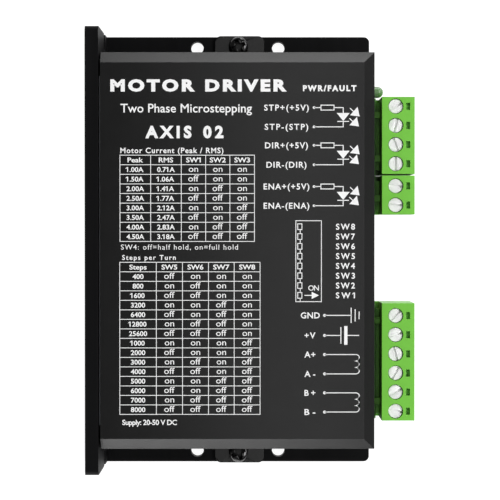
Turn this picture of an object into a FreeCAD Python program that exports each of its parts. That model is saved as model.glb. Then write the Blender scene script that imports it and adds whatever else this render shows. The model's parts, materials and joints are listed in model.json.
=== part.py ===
import FreeCAD, Part
import os
import re
import Sketcher
from FreeCAD import Placement, Rotation, Vector

# Stepper driver module. Millimetres.
# The origin is the centre of the four mounting holes on the back face of the heat sink.
# +X points to the side with the plugs, +Y to the top of the cover's print, +Z out of the cover.

DIMENSIONS = {
    # heat sink: an L of aluminium, a base plate with a side wall on its left
    "sink_length": 118,
    "sink_depth": 34,
    "wall_outer_x": -39.9,
    "wall_thickness": 3.55,
    "base_right_x": 36.5,
    "base_thickness": 3.5,
    "corner_radius": 1.5,
    "hole_spacing_x": 22.5,
    "hole_spacing_y": 112,
    "hole_radius": 1.75,
    "slot_width": 4.2,
    "slot_height_z": 12,
    "thread_radius": 1.5,
    # cover: folded sheet
    "sheet": 1,
    "cover_left_x": -35.85,
    "cover_right_x": 36.2,
    "cover_half_y": 52.25,
    "fold": 2.9,
    "tab_middle_x": 0.5,
    "tab_width": 13.5,
    "tab_reach_y": 59.2,
    "tab_corner": 1.6,
    "screw_hole_radius": 1.6,
    "cover_screw_x": 0.25,
    "cover_screw_y": 56.2,
    # openings in the cover's right wall
    "window_cut": 2,
    "window_low_z": 12.2,
    "window_high_z": 21.6,
    "signal_window_low_y": 9.0,
    "signal_window_high_y": 44.7,
    "switch_window_low_y": -13.9,
    "switch_window_high_y": 8.1,
    "switch_window_high_z": 22.7,
    "power_window_low_y": -45.75,
    "power_window_high_y": -14.5,
    # circuit board, standing on four spacers
    "board_left_x": -35.3,
    "board_right_x": 34.7,
    "board_half_y": 50.9,
    "board_low_z": 10.9,
    "board_thickness": 1.6,
    "spacer_x": 20,
    "spacer_y": 46,
    "spacer_radius": 3,
    "spacer_thread_depth": 5,
    "board_screw_depth": 4.5,
    "stub_low_z": 1,
    "stub_end_play": 0.1,
    # pan-head screws, M3
    "head_radius": 2.75,
    "head_height": 2.2,
    "head_crown": 1.1,
    "head_cap": 0.4,
    "head_cap_radius": 1.6,
    "shank_radius": 1.48,
    "cross_width": 1.15,
    "cross_length": 4,
    "cross_depth": 1.5,
    # pluggable terminal blocks: the poles run down the side in steps of one pitch
    "pole_pitch": 5.08,
    "signal_four_y": 38.26,
    "signal_two_y": 17.15,
    "power_six_y": -17.25,
    "signal_four_key_high_y": 36.35,
    "signal_four_key_low_y": 24.65,
    "signal_two_key_y": 13.95,
    "power_key_high_y": -18.85,
    "power_key_low_y": -40.55,
    # sockets on the board
    "socket_back_x": 25.2,
    "socket_front_x": 37.2,
    "socket_height": 8.6,
    "socket_wall": 0.9,
    "socket_depth": 10,
    "key_width": 1.7,
    "key_back_x": 34,
    "key_play": 0.15,
    "socket_lip": 0.35,
    # pins of the sockets
    "pin_size": 1,
    "pin_z": 16.8,
    "pin_back_x": 23.2,
    "pin_tip_x": 36,
    "pin_low_z": 9.7,
    "pin_hole_radius": 0.75,
    # plugs
    "plug_back_x": 38.35,
    "plug_front_x": 47.05,
    "plug_low_z": 12.9,
    "plug_high_z": 28,
    "plug_play": 0.05,
    "signal_four_lip": 0.22,
    "signal_two_lip": 0.25,
    "power_lip": 0.8,
    "nose_tip_x": 30.2,
    "nose_low_z": 13.7,
    "nose_high_z": 19.9,
    "nose_side_play": 1.05,
    "groove_back_x": 37.35,
    "groove_low_z": 18.6,
    "apron_high_z": 15,
    "key_high_z": 21,
    "well_x": 42.03,
    "well_radius": 2,
    "well_low_z": 25.4,
    "neck_radius": 1.35,
    "chamber_back_x": 39.8,
    "chamber_front_x": 44.1,
    "chamber_width": 4.1,
    "chamber_low_z": 14.1,
    "chamber_high_z": 23.1,
    "entry_low_z": 14.8,
    "entry_high_z": 18.9,
    "channel_width": 2,
    "channel_low_z": 15.6,
    "channel_high_z": 18,
    "passage_back_x": 38.85,
    "passage_high_z": 19.6,
    "passage_play": 0.1,
    "slit_x": 45.3,
    "slit_size_x": 1.06,
    "slit_size_y": 1.86,
    "slit_low_z": 26.8,
    # terminal screws: they turn in place and draw the wire clamps up
    "terminal_head_radius": 1.84,
    "terminal_head_low_z": 25.45,
    "terminal_head_high_z": 27.5,
    "terminal_slot_width": 0.7,
    "terminal_slot_low_z": 26.8,
    "terminal_shank_radius": 1.25,
    "terminal_tip_z": 19.5,
    # wire clamps: cages around the contact bars
    "clamp_size_x": 4,
    "clamp_width": 3.9,
    "clamp_low_z": 14.3,
    "clamp_high_z": 20.8,
    "clamp_window_width": 2.9,
    "clamp_window_low_z": 15.1,
    "clamp_window_high_z": 19.6,
    "clamp_thread_radius": 1.3,
    # contact bars of the plugs
    "contact_width": 2.7,
    "contact_low_z": 18.6,
    "contact_high_z": 19.4,
    "contact_tip_x": 43.9,
    "contact_back_x": 39,
    "contact_sheet": 0.6,
    "leaf_width": 1.6,
    "leaf_tip_x": 31,
    "leaf_low_z": 15.8,
    "leaf_high_z": 17.8,
    "leaf_sheet": 0.4,
    # switch with eight levers between the two groups of plugs
    "switch_y": -2.9,
    "switch_length": 21.2,
    "switch_back_x": 29.2,
    "switch_face_x": 34.8,
    "switch_high_z": 22.3,
    "lever_pitch": 2.54,
    "lever_slot_width": 1.3,
    "lever_slot_low_z": 15.55,
    "lever_slot_high_z": 19.25,
    "lever_width": 1.1,
    "lever_low_z": 17.25,
    "lever_high_z": 19.15,
    "lever_tip_x": 35.9,
    "lever_foot_back_x": 31.1,
    "lever_foot_front_x": 31.9,
    "foot_room_back_x": 31,
    "foot_room_front_x": 32,
    "foot_room_width": 2.1,
    "foot_room_low_z": 14.6,
    "foot_room_high_z": 20.2,
    "foot_play": 0.1,
    "foot_overhang": 0.4,
    "leg_size": 0.5,
    "leg_low_z": 9.9,
    "leg_hole_radius": 0.4,
    "switch_leg_row_a_x": 30.5,
    "switch_leg_row_b_x": 33,
    # indicator lamps, one above the other
    "power_lamp_y": 42.55,
    "alarm_lamp_y": 42.9,
    "power_lamp_z": 18.8,
    "alarm_lamp_z": 14.8,
    "lamp_radius": 1.5,
    "lamp_dome_x": 37.8,
    "lamp_flange_x": 33,
    "lamp_flange_thickness": 1,
    "lamp_flange_radius": 1.7,
    "lamp_leg_spread": 2.54,
    "power_leg_x": 30.25,
    "alarm_leg_x": 31.75,
    # output transistors, pressed to the side wall through a pad
    "pad_thickness": 0.3,
    "pad_half_y": 46,
    "pad_low_z": 14.6,
    "pad_high_z": 31,
    "transistor_first_y": 8,
    "transistor_pitch": 10.6,
    "tab_sheet": 1.3,
    "transistor_width": 10,
    "transistor_low_z": 15,
    "transistor_body_high_z": 24.2,
    "transistor_tab_high_z": 30.5,
    "transistor_front_x": -31.5,
    "transistor_leg_x": -33.35,
    "transistor_leg_step": 2.54,
    "transistor_leg_width": 0.8,
    "transistor_leg_hole": 0.6,
    "bar_thickness": 2,
    "bar_half_y": 50,
    "bar_low_z": 17.5,
    "bar_high_z": 22.5,
    "clamp_screw_y": 47.5,
    "clamp_screw_z": 20,
    "clamp_screw_tip_x": -38.7,
    "clamp_hole_end_x": -38.9,
    # parts standing on the board
    "capacitor_radius": 8,
    "capacitor_high_z": 32.3,
    "capacitor_x": 8,
    "capacitor_low_y": -38,
    "capacitor_high_y": -20,
    "coil_radius": 6,
    "coil_core_radius": 2.5,
    "coil_flange": 1.2,
    "coil_height": 10,
    "coil_x": -12,
    "coil_y": -34,
    "chip_size": 14,
    "chip_height": 1.6,
    "chip_x": -4,
    "chip_y": 18,
    "opto_size_x": 6.6,
    "opto_size_y": 4.6,
    "opto_height": 3.5,
    "opto_x": 15,
    "opto_first_y": 14,
    "opto_pitch": 7.5,
    "sense_size_x": 3.2,
    "sense_size_y": 6.3,
    "sense_height": 0.8,
    "sense_x": -20,
    "sense_y": 8,
}

SIDES = (1, -1)
TERMINAL_BLOCKS = {
    # name: (height of the first pole, poles, heights of the plug's keys)
    "signal_4": ("signal_four_y", 4, ("signal_four_key_high_y", "signal_four_key_low_y")),
    "signal_2": ("signal_two_y", 2, ("signal_two_key_y",)),
    "power": ("power_six_y", 6, ("power_key_high_y", "power_key_low_y")),
}
# how far a plug and a socket reach past their poles' pitch, at the low and at the high end
PLUG_LIPS = {
    "signal_4": ("signal_four_lip", "0"),
    "signal_2": ("0", "signal_two_lip"),
    "power": ("0", "power_lip"),
}
SOCKET_LIPS = {
    "signal_4": ("socket_lip", "0"),
    "signal_2": ("0", "socket_lip"),
    "power": ("0", "0"),
}
CROSS_ANGLE = 25
TERMINAL_SLOT_ANGLES = (30, 75, 110, 90, -5, 0, 45, 15, -75, 60, 25, -8)
LEVERS = 8
TRANSISTORS_PER_SIDE = 4
OPTOCOUPLERS = 4
AXIS_TURNS = {
    "x": Rotation(Vector(0, 1, 0), 90),
    "y": Rotation(Vector(1, 0, 0), -90),
    "z": Rotation(),
}

doc = FreeCAD.newDocument("StepperDriver")
sheet = doc.addObject("Spreadsheet::Sheet", "dims")
nodes = {}


def fill_sheet():
    """One row per driving dimension: its name, and its value under the same alias."""
    for row, (name, size) in enumerate(DIMENSIONS.items(), start=1):
        sheet.set(f"A{row}", name)
        sheet.set(f"B{row}", str(size))
        sheet.setAlias(f"B{row}", name)
    doc.recompute()


def formula(text):
    """The text with each dimension's name turned into its cell's address."""
    return re.sub(r"[a-z]\w*", lambda word: "dims." + word.group(), text)


def node(name, obj):
    """Name a finished sub-part."""
    obj.Label = name
    nodes[name] = obj
    return obj


# ---- solids from primitives ----

def box(x, y, z):
    """A block; x, y and z are each a low and a high formula."""
    obj = doc.addObject("Part::Box", "Block")
    for size, axis, (low, high) in (("Length", "x", x), ("Width", "y", y), ("Height", "z", z)):
        obj.setExpression(size, formula(f"({high}) - ({low})"))
        obj.setExpression(f"Placement.Base.{axis}", formula(low))
    return obj


def centred(middle, width):
    """The low and the high formula of a width about a middle."""
    return f"{middle} - {width} / 2", f"{middle} + {width} / 2"


def rod(radius, x, y, z, end_radius=None):
    """A cylinder, or a cone to end_radius; the one of x, y and z that is a pair is its axis."""
    obj = doc.addObject("Part::Cone" if end_radius else "Part::Cylinder", "Rod")
    if end_radius:
        obj.setExpression("Radius1", formula(radius))
        obj.setExpression("Radius2", formula(end_radius))
    else:
        obj.setExpression("Radius", formula(radius))
    for axis, place in (("x", x), ("y", y), ("z", z)):
        if isinstance(place, tuple):
            low, high = place
            obj.Placement = Placement(Vector(), AXIS_TURNS[axis])
            obj.setExpression("Height", formula(f"({high}) - ({low})"))
    for axis, place in (("x", x), ("y", y), ("z", z)):
        start = place[0] if isinstance(place, tuple) else place
        obj.setExpression(f"Placement.Base.{axis}", formula(start))
    return obj


def ball(radius, x, y, z):
    obj = doc.addObject("Part::Sphere", "Ball")
    obj.setExpression("Radius", formula(radius))
    for axis, place in (("x", x), ("y", y), ("z", z)):
        obj.setExpression(f"Placement.Base.{axis}", formula(place))
    return obj


def fuse(*pieces):
    obj = doc.addObject("Part::MultiFuse", "Union")
    obj.Shapes = list(pieces)
    return obj


def cut(base, *tools):
    obj = doc.addObject("Part::Cut", "Difference")
    obj.Base = base
    obj.Tool = tools[0] if len(tools) == 1 else fuse(*tools)
    return obj


def group(*pieces):
    """Separate solids that share a node."""
    obj = doc.addObject("Part::Compound", "Group")
    obj.Links = list(pieces)
    return obj


# ---- solids from sketches ----

def new_body():
    body = doc.addObject("PartDesign::Body", "Body")
    planes = {feature.Role: feature for feature in body.Origin.OriginFeatures}
    return body, planes


def draw(body, plane, loops, offset="0"):
    """A sketch; a loop is a list of corners (x, y), or a circle as a tuple (x, y, radius)."""
    sketch = body.newObject("Sketcher::SketchObject", "Sketch")
    sketch.AttachmentSupport = [(plane, "")]
    sketch.MapMode = "FlatFace"
    sketch.setExpression("AttachmentOffset.Base.z", formula(offset))

    def tie(geometry, point, corner):
        for kind, text in zip(("DistanceX", "DistanceY"), corner):
            size = float(sketch.evalExpression(formula(text)))
            index = sketch.addConstraint(Sketcher.Constraint(kind, -1, 1, geometry, point, size))
            sketch.setExpression(f"Constraints[{index}]", formula(text))

    def spot(corner):
        return Vector(*(float(sketch.evalExpression(formula(text))) for text in corner))

    for loop in loops:
        first = sketch.GeometryCount
        if isinstance(loop, tuple):
            x, y, radius = loop
            size = float(sketch.evalExpression(formula(radius)))
            sketch.addGeometry(Part.Circle(spot((x, y)), Vector(0, 0, 1), size), False)
            index = sketch.addConstraint(Sketcher.Constraint("Radius", first, size))
            sketch.setExpression(f"Constraints[{index}]", formula(radius))
            tie(first, 3, (x, y))
            continue
        count = len(loop)
        for n, corner in enumerate(loop):
            line = Part.LineSegment(spot(corner), spot(loop[(n + 1) % count]))
            sketch.addGeometry(line, False)
        for n, corner in enumerate(loop):
            sketch.addConstraint(
                Sketcher.Constraint("Coincident", first + n, 2, first + (n + 1) % count, 1))
            tie(first + n, 1, corner)
    return sketch


def rectangle(x, y):
    (low_x, high_x), (low_y, high_y) = x, y
    return [(low_x, low_y), (high_x, low_y), (high_x, high_y), (low_x, high_y)]


def extrude(body, kind, sketch, length=None, symmetric=False, reverse=False):
    """A Pad or a Pocket of a sketch; a Pocket with no length goes right through."""
    feature = body.newObject(f"PartDesign::{kind}", kind)
    feature.Profile = sketch
    feature.Reversed = reverse
    if symmetric:
        feature.SideType = "Symmetric"
    if length is None:
        feature.Type = "ThroughAll"
    else:
        feature.setExpression("Length", formula(length))
    doc.recompute()
    return feature


def edges_where(feature, test):
    return [f"Edge{n}" for n, edge in enumerate(feature.Shape.Edges, start=1) if test(edge)]


def dress(body, kind, feature, names, size):
    """A Fillet or a Chamfer on named edges of a feature."""
    finish = body.newObject(f"PartDesign::{kind}", kind)
    finish.Base = (feature, names)
    finish.setExpression("Radius" if kind == "Fillet" else "Size", formula(size))
    doc.recompute()
    return finish


def number(text):
    return float(sheet.evalExpression(formula(text)))


def at(text, place):
    """Whether a place on an edge or a face is where the formula says."""
    return abs(place - number(text)) < 1e-4


# ---- shared formulas ----

WALL_INNER_X = "wall_outer_x + wall_thickness"
BOARD_TOP_Z = "board_low_z + board_thickness"
HALF_LENGTH = "sink_length / 2"
TAB_TOP_Z = "base_thickness + sheet"
PAD_FRONT_X = f"{WALL_INNER_X} + pad_thickness"
BAR_FRONT_X = "transistor_front_x + bar_thickness"
CLAMP_SCREW_YS = ("clamp_screw_y", "0", "-clamp_screw_y")
SPACER_PLACES = [(f"{x} * spacer_x", f"{y} * spacer_y") for x in SIDES for y in SIDES]


def pole_height(first, pole):
    return f"{first} - {pole} * pole_pitch"


def block_ends(first, poles, inset="0"):
    """The low and the high end of a terminal block, each moved in by an inset."""
    low = f"{first} - {poles} * pole_pitch + pole_pitch / 2 + {inset}"
    return low, f"{first} + pole_pitch / 2 - {inset}"


def lever_height(index):
    """The height of a lever; the first one is at the bottom."""
    middle = (LEVERS - 1) / 2
    return f"switch_y + {index - middle} * lever_pitch"


def transistor_heights():
    steps = range(TRANSISTORS_PER_SIDE)
    return [f"{side} * (transistor_first_y + {n} * transistor_pitch)" for side in SIDES for n in steps]


def all_poles():
    """Every pole from the top of the driver down, as its block's name and its height."""
    return [(name, pole_height(first, pole))
            for name, (first, poles, _) in TERMINAL_BLOCKS.items() for pole in range(poles)]


def lamp_legs():
    """The place of each lamp's two legs: x, y, and the height of its lamp."""
    return [(f"{lamp}_leg_x", f"{lamp}_lamp_y + {side} * lamp_leg_spread / 2", f"{lamp}_lamp_z")
            for side in SIDES for lamp in ("power", "alarm")]


def transistor_leg_heights():
    return [f"{middle} + {leg} * transistor_leg_step"
            for middle in transistor_heights() for leg in (-1, 0, 1)]


# ---- the sub-parts ----

def heat_sink():
    body, planes = new_body()
    profile = [("wall_outer_x", "0"), ("base_right_x", "0"), ("base_right_x", "base_thickness"),
               (WALL_INNER_X, "base_thickness"), (WALL_INNER_X, "sink_depth"),
               ("wall_outer_x", "sink_depth")]
    blank = extrude(body, "Pad", draw(body, planes["XZ_Plane"], [profile]), "sink_length", symmetric=True)

    def is_corner(edge):
        box_of_edge = edge.BoundBox
        front_end = at("sink_depth", box_of_edge.ZMin) and box_of_edge.YLength < 1e-4
        right_end = at("base_right_x", box_of_edge.XMin) and box_of_edge.XLength < 1e-4
        return front_end or (right_end and box_of_edge.YLength < 1e-4)

    dress(body, "Fillet", blank, edges_where(blank, is_corner), "corner_radius")

    mounting = [(f"{x} * hole_spacing_x / 2", f"{y} * hole_spacing_y / 2", "hole_radius")
                for x in SIDES for y in SIDES]
    threads = [("cover_screw_x", f"{side} * cover_screw_y", "thread_radius") for side in SIDES]
    through = draw(body, planes["XY_Plane"], mounting + threads, "base_thickness")
    extrude(body, "Pocket", through)

    stub_holes = [(x, y, "thread_radius") for x, y in SPACER_PLACES]
    sockets = draw(body, planes["XY_Plane"], stub_holes, "base_thickness")
    extrude(body, "Pocket", sockets, "base_thickness - stub_low_z")

    clamp_holes = [(y, "clamp_screw_z", "thread_radius") for y in CLAMP_SCREW_YS]
    blind = draw(body, planes["YZ_Plane"], clamp_holes, WALL_INNER_X)
    extrude(body, "Pocket", blind, f"{WALL_INNER_X} - clamp_hole_end_x")

    # open slots at both ends of the wall: a round end, then a straight run out
    round_ends = [(f"{side} * hole_spacing_y / 2", "slot_height_z", "slot_width / 2") for side in SIDES]
    past_the_end = f"{HALF_LENGTH} + slot_width"
    straights = [rectangle((f"{side} * hole_spacing_y / 2", f"{side} * ({past_the_end})"),
                           centred("slot_height_z", "slot_width")) for side in SIDES]
    for loops in (round_ends, straights):
        slot = draw(body, planes["YZ_Plane"], loops, WALL_INNER_X)
        extrude(body, "Pocket", slot, "wall_thickness")
    node("heat_sink", body)


def cover():
    body, planes = new_body()
    plan = rectangle(("cover_left_x", "cover_right_x"), ("-cover_half_y", "cover_half_y"))
    blank = extrude(body, "Pad", draw(body, planes["XY_Plane"], [plan], "base_thickness"),
                    "sink_depth - base_thickness")

    def is_folded(edge):
        return at("sink_depth", edge.BoundBox.ZMin) and not at("cover_left_x", edge.BoundBox.XMax)

    folded = dress(body, "Chamfer", blank, edges_where(blank, is_folded), "fold")
    open_faces = [f"Face{n}" for n, face in enumerate(folded.Shape.Faces, start=1)
                  if at("base_thickness", face.BoundBox.ZMax) or at("cover_left_x", face.BoundBox.XMax)]
    shell = body.newObject("PartDesign::Thickness", "Thickness")
    shell.Base = (folded, open_faces)
    shell.Join = "Intersection"
    shell.Reversed = True
    shell.setExpression("Value", formula("sheet"))
    doc.recompute()

    tabs = [rectangle(centred("tab_middle_x", "tab_width"),
                      (f"{side} * (cover_half_y - sheet)", f"{side} * tab_reach_y")) for side in SIDES]
    tabbed = extrude(body, "Pad", draw(body, planes["XY_Plane"], tabs, "base_thickness"), "sheet")

    def is_tab_corner(edge):
        upright = edge.BoundBox.ZLength > 0.5 and edge.BoundBox.YLength < 1e-4
        return upright and at("tab_reach_y", abs(edge.BoundBox.YMin))

    dress(body, "Fillet", tabbed, edges_where(tabbed, is_tab_corner), "tab_corner")
    holes = [("cover_screw_x", f"{side} * cover_screw_y", "screw_hole_radius") for side in SIDES]
    extrude(body, "Pocket", draw(body, planes["XY_Plane"], holes, TAB_TOP_Z), "sheet")

    windows = [
        rectangle(("signal_window_low_y", "signal_window_high_y"), ("window_low_z", "window_high_z")),
        rectangle(("switch_window_low_y", "switch_window_high_y"),
                  ("window_low_z", "switch_window_high_z")),
        rectangle(("power_window_low_y", "power_window_high_y"), ("window_low_z", "window_high_z")),
    ]
    extrude(body, "Pocket", draw(body, planes["YZ_Plane"], windows, "cover_right_x"), "window_cut")
    node("cover", body)


def cross(x, y, top_z):
    """The tool that cuts a cross recess into a head that faces up."""
    depth = (f"{top_z} - cross_depth", top_z)
    arms = fuse(box(centred("0", "cross_length"), centred("0", "cross_width"), depth),
                box(centred("0", "cross_width"), centred("0", "cross_length"), depth))
    arms.Placement = Placement(Vector(), Rotation(Vector(0, 0, 1), CROSS_ANGLE))
    arms.setExpression("Placement.Base.x", formula(x))
    arms.setExpression("Placement.Base.y", formula(y))
    return arms


def upright_screw(x, y, seat_z, tip_z):
    """A pan-head screw that stands on a seat, its tip down."""
    top = f"{seat_z} + head_height"
    shoulder, rim = f"{top} - head_crown", f"{top} - head_cap"
    head = rod("head_radius", x, y, (seat_z, shoulder))
    crown = rod("head_radius", x, y, (shoulder, rim), "head_radius - head_cap")
    cap = rod("head_radius - head_cap", x, y, (rim, top), "head_cap_radius")
    shank = rod("shank_radius", x, y, (tip_z, seat_z))
    return cut(fuse(head, crown, cap, shank), cross(x, y, top))


def cover_screws():
    tip = "stub_low_z / 2"
    node("cover_screws", group(*(upright_screw("cover_screw_x", f"{side} * cover_screw_y", TAB_TOP_Z, tip)
                                 for side in SIDES)))


def circuit_board():
    body, planes = new_body()
    plan = rectangle(("board_left_x", "board_right_x"), ("-board_half_y", "board_half_y"))
    extrude(body, "Pad", draw(body, planes["XY_Plane"], [plan], "board_low_z"), "board_thickness")
    holes = [(x, y, "screw_hole_radius") for x, y in SPACER_PLACES]
    holes += [("pin_back_x + pin_size / 2", y, "pin_hole_radius") for _, y in all_poles()]
    holes += [(x, lever_height(n), "leg_hole_radius")
              for x in ("switch_leg_row_a_x", "switch_leg_row_b_x") for n in range(LEVERS)]
    holes += [(x, y, "leg_hole_radius") for x, y, _ in lamp_legs()]
    holes += [("transistor_leg_x", y, "transistor_leg_hole") for y in transistor_leg_heights()]
    extrude(body, "Pocket", draw(body, planes["XY_Plane"], holes, BOARD_TOP_Z))
    node("circuit_board", body)


def board_spacers():
    pillars = []
    for x, y in SPACER_PLACES:
        pillar = rod("spacer_radius", x, y, ("base_thickness", "board_low_z"))
        stub = rod("shank_radius", x, y, ("stub_low_z + stub_end_play", "base_thickness"))
        thread = rod("thread_radius", x, y, ("board_low_z - spacer_thread_depth", "board_low_z"))
        pillars.append(cut(fuse(pillar, stub), thread))
    node("board_spacers", group(*pillars))


def board_screws():
    tip = "board_low_z - board_screw_depth"
    node("board_screws", group(*(upright_screw(x, y, BOARD_TOP_Z, tip) for x, y in SPACER_PLACES)))


def socket(name, first, poles, keys, lips):
    """A socket on the board: a box open to +X, with notches in its roof for the plug's keys."""
    body, planes = new_body()
    side = rectangle(("socket_back_x", "socket_front_x"), (BOARD_TOP_Z, f"{BOARD_TOP_Z} + socket_height"))
    low, high = block_ends(first, poles)
    low, high = f"{low} - {lips[0]}", f"{high} + {lips[1]}"
    block = draw(body, planes["XZ_Plane"], [side], f"-({low})")
    extrude(body, "Pad", block, f"{high} - ({low})", reverse=True)

    roof_z = f"{BOARD_TOP_Z} + socket_height"
    room = rectangle(block_ends(first, poles, "socket_wall"),
                     (f"{BOARD_TOP_Z} + socket_wall", f"{roof_z} - socket_wall"))
    extrude(body, "Pocket", draw(body, planes["YZ_Plane"], [room], "socket_front_x"), "socket_depth")
    notches = [rectangle(("key_back_x - key_play", "socket_front_x"),
                         centred(key, "(key_width + 2 * key_play)")) for key in keys]
    extrude(body, "Pocket", draw(body, planes["XY_Plane"], notches, roof_z), "socket_wall")
    pin_holes = [rectangle(centred(pole_height(first, pole), "pin_size"), centred("pin_z", "pin_size"))
                 for pole in range(poles)]
    extrude(body, "Pocket", draw(body, planes["YZ_Plane"], pin_holes, "socket_front_x"))
    node(name, body)


def header_pins():
    """Every tinned leg in the board: socket pins, switch legs and lamp legs."""
    legs = []
    for _, y in all_poles():
        across = centred(y, "pin_size")
        level = centred("pin_z", "pin_size")
        run = box(("pin_back_x", "pin_tip_x"), across, level)
        drop = box(("pin_back_x", "pin_back_x + pin_size"), across, ("pin_low_z", "pin_z + pin_size / 2"))
        legs.append(fuse(run, drop))
    for x in ("switch_leg_row_a_x", "switch_leg_row_b_x"):
        for index in range(LEVERS):
            legs.append(box(centred(x, "leg_size"), centred(lever_height(index), "leg_size"),
                            ("leg_low_z", BOARD_TOP_Z)))
    for x, y, lamp_z in lamp_legs():
        across = centred(y, "leg_size")
        run = box((f"{x} - leg_size / 2", "lamp_flange_x"), across, centred(lamp_z, "leg_size"))
        drop = box(centred(x, "leg_size"), across, ("leg_low_z", f"{lamp_z} + leg_size / 2"))
        legs.append(fuse(run, drop))
    node("header_pins", group(*legs))


def plug(name, first, poles, keys, lips):
    """A plug: a tall block with a nose and keys, and a chamber, well and entry at each pole."""
    body, planes = new_body()
    low, high = block_ends(first, poles, "plug_play")
    low, high = f"{low} - {lips[0]}", f"{high} + {lips[1]}"
    profile = rectangle(("plug_back_x", "plug_front_x"), ("plug_low_z", "plug_high_z"))
    side = draw(body, planes["XZ_Plane"], [profile], f"-({low})")
    extrude(body, "Pad", side, f"{high} - ({low})", reverse=True)
    nose = rectangle(block_ends(first, poles, "nose_side_play"), ("nose_low_z", "nose_high_z"))
    extrude(body, "Pad", draw(body, planes["YZ_Plane"], [nose], "nose_tip_x"), "plug_back_x - nose_tip_x")
    apron = rectangle((low, high), ("plug_low_z", "apron_high_z"))
    extrude(body, "Pad", draw(body, planes["YZ_Plane"], [apron], "groove_back_x"),
            "plug_back_x - groove_back_x")
    groove = rectangle(("groove_back_x", "plug_back_x"), (low, high))
    extrude(body, "Pocket", draw(body, planes["XY_Plane"], [groove], "nose_high_z"),
            "nose_high_z - groove_low_z")
    ribs = [rectangle(("key_back_x", "plug_back_x"), centred(key, "key_width")) for key in keys]
    extrude(body, "Pad", draw(body, planes["XY_Plane"], ribs, "nose_high_z"), "key_high_z - nose_high_z")

    heights = [pole_height(first, pole) for pole in range(poles)]

    def sink(plane, loops, start, depth):
        extrude(body, "Pocket", draw(body, planes[plane], loops, start), depth)

    sink("XY_Plane", [("well_x", y, "well_radius") for y in heights], "plug_high_z",
         "plug_high_z - well_low_z")
    sink("XY_Plane", [("well_x", y, "neck_radius") for y in heights], "well_low_z",
         "well_low_z - chamber_high_z")
    sink("XY_Plane", [rectangle(("chamber_back_x", "chamber_front_x"), centred(y, "chamber_width"))
                      for y in heights], "chamber_high_z", "chamber_high_z - chamber_low_z")
    sink("YZ_Plane", [rectangle(centred(y, "chamber_width"), ("entry_low_z", "entry_high_z"))
                      for y in heights], "plug_front_x", "plug_front_x - chamber_front_x")
    sink("YZ_Plane", [rectangle(centred(y, "channel_width"), ("channel_low_z", "channel_high_z"))
                      for y in heights], "chamber_back_x", "chamber_back_x - nose_tip_x")
    passage_width = "(contact_width + 2 * passage_play)"
    sink("YZ_Plane", [rectangle(centred(y, passage_width), ("channel_low_z", "passage_high_z"))
                      for y in heights], "chamber_back_x", "chamber_back_x - passage_back_x")
    sink("XY_Plane", [rectangle(centred("slit_x", "slit_size_x"), centred(y, "slit_size_y"))
                      for y in heights], "plug_high_z", "plug_high_z - slit_low_z")
    node(name, body)


def terminal_screw(name, y, slot_angle):
    """A slotted screw, made on the origin and set down in its well."""
    head = rod("terminal_head_radius", "0", "0", ("terminal_head_low_z", "terminal_head_high_z"))
    shank = rod("terminal_shank_radius", "0", "0", ("terminal_tip_z", "terminal_head_low_z"))
    slot = box(("-2 * terminal_head_radius", "2 * terminal_head_radius"),
               centred("0", "terminal_slot_width"), ("terminal_slot_low_z", "terminal_head_high_z"))
    screw = cut(fuse(head, shank), slot)
    screw.Placement = Placement(Vector(), Rotation(Vector(0, 0, 1), slot_angle))
    screw.setExpression("Placement.Base.x", formula("well_x"))
    screw.setExpression("Placement.Base.y", formula(y))
    node(name, screw)


def wire_clamp(name, y):
    """A cage open towards the wire, with the screw's thread in its top."""
    length = centred("well_x", "clamp_size_x")
    block = box(length, centred(y, "clamp_width"), ("clamp_low_z", "clamp_high_z"))
    window = box(length, centred(y, "clamp_window_width"), ("clamp_window_low_z", "clamp_window_high_z"))
    thread = rod("clamp_thread_radius", "well_x", y, ("clamp_window_high_z", "clamp_high_z"))
    node(name, cut(block, window, thread))


def contacts(name, first, poles):
    """Contact bars: a bar under the screw, a step down, and two leaves that take the pin."""
    bars = []
    for pole in range(poles):
        y = pole_height(first, pole)
        leaf_y = centred(y, "leaf_width")
        bar = box(("contact_back_x", "contact_tip_x"), centred(y, "contact_width"),
                  ("contact_low_z", "contact_high_z"))
        step = box(("contact_back_x", "contact_back_x + contact_sheet"), leaf_y,
                   ("leaf_low_z", "contact_high_z"))
        leaf_run = ("leaf_tip_x", "contact_back_x")
        lower = box(leaf_run, leaf_y, ("leaf_low_z", "leaf_low_z + leaf_sheet"))
        upper = box(leaf_run, leaf_y, ("leaf_high_z - leaf_sheet", "leaf_high_z"))
        bars.append(fuse(bar, step, lower, upper))
    node(name, group(*bars))


def switch_housing():
    body, planes = new_body()
    side = rectangle(centred("switch_y", "switch_length"), (BOARD_TOP_Z, "switch_high_z"))
    extrude(body, "Pad", draw(body, planes["YZ_Plane"], [side], "switch_back_x"),
            "switch_face_x - switch_back_x")
    slots = [rectangle(centred(lever_height(n), "lever_slot_width"),
                       ("lever_slot_low_z", "lever_slot_high_z")) for n in range(LEVERS)]
    extrude(body, "Pocket", draw(body, planes["YZ_Plane"], slots, "switch_face_x"),
            "switch_face_x - foot_room_front_x")
    rooms = [rectangle(centred(lever_height(n), "foot_room_width"),
                       ("foot_room_low_z", "foot_room_high_z")) for n in range(LEVERS)]
    extrude(body, "Pocket", draw(body, planes["YZ_Plane"], rooms, "foot_room_front_x"),
            "foot_room_front_x - foot_room_back_x")
    node("switch_housing", body)


def switch_lever(index):
    """A lever with a wider foot that keeps it in the housing."""
    y = lever_height(index)
    stem = box(("lever_foot_front_x", "lever_tip_x"), centred(y, "lever_width"),
               ("lever_low_z", "lever_high_z"))
    foot = box(("lever_foot_back_x", "lever_foot_front_x"), centred(y, "(foot_room_width - 2 * foot_play)"),
               ("lever_low_z - foot_overhang", "lever_high_z + foot_overhang"))
    node(f"switch_lever_{index + 1}", fuse(stem, foot))


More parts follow.
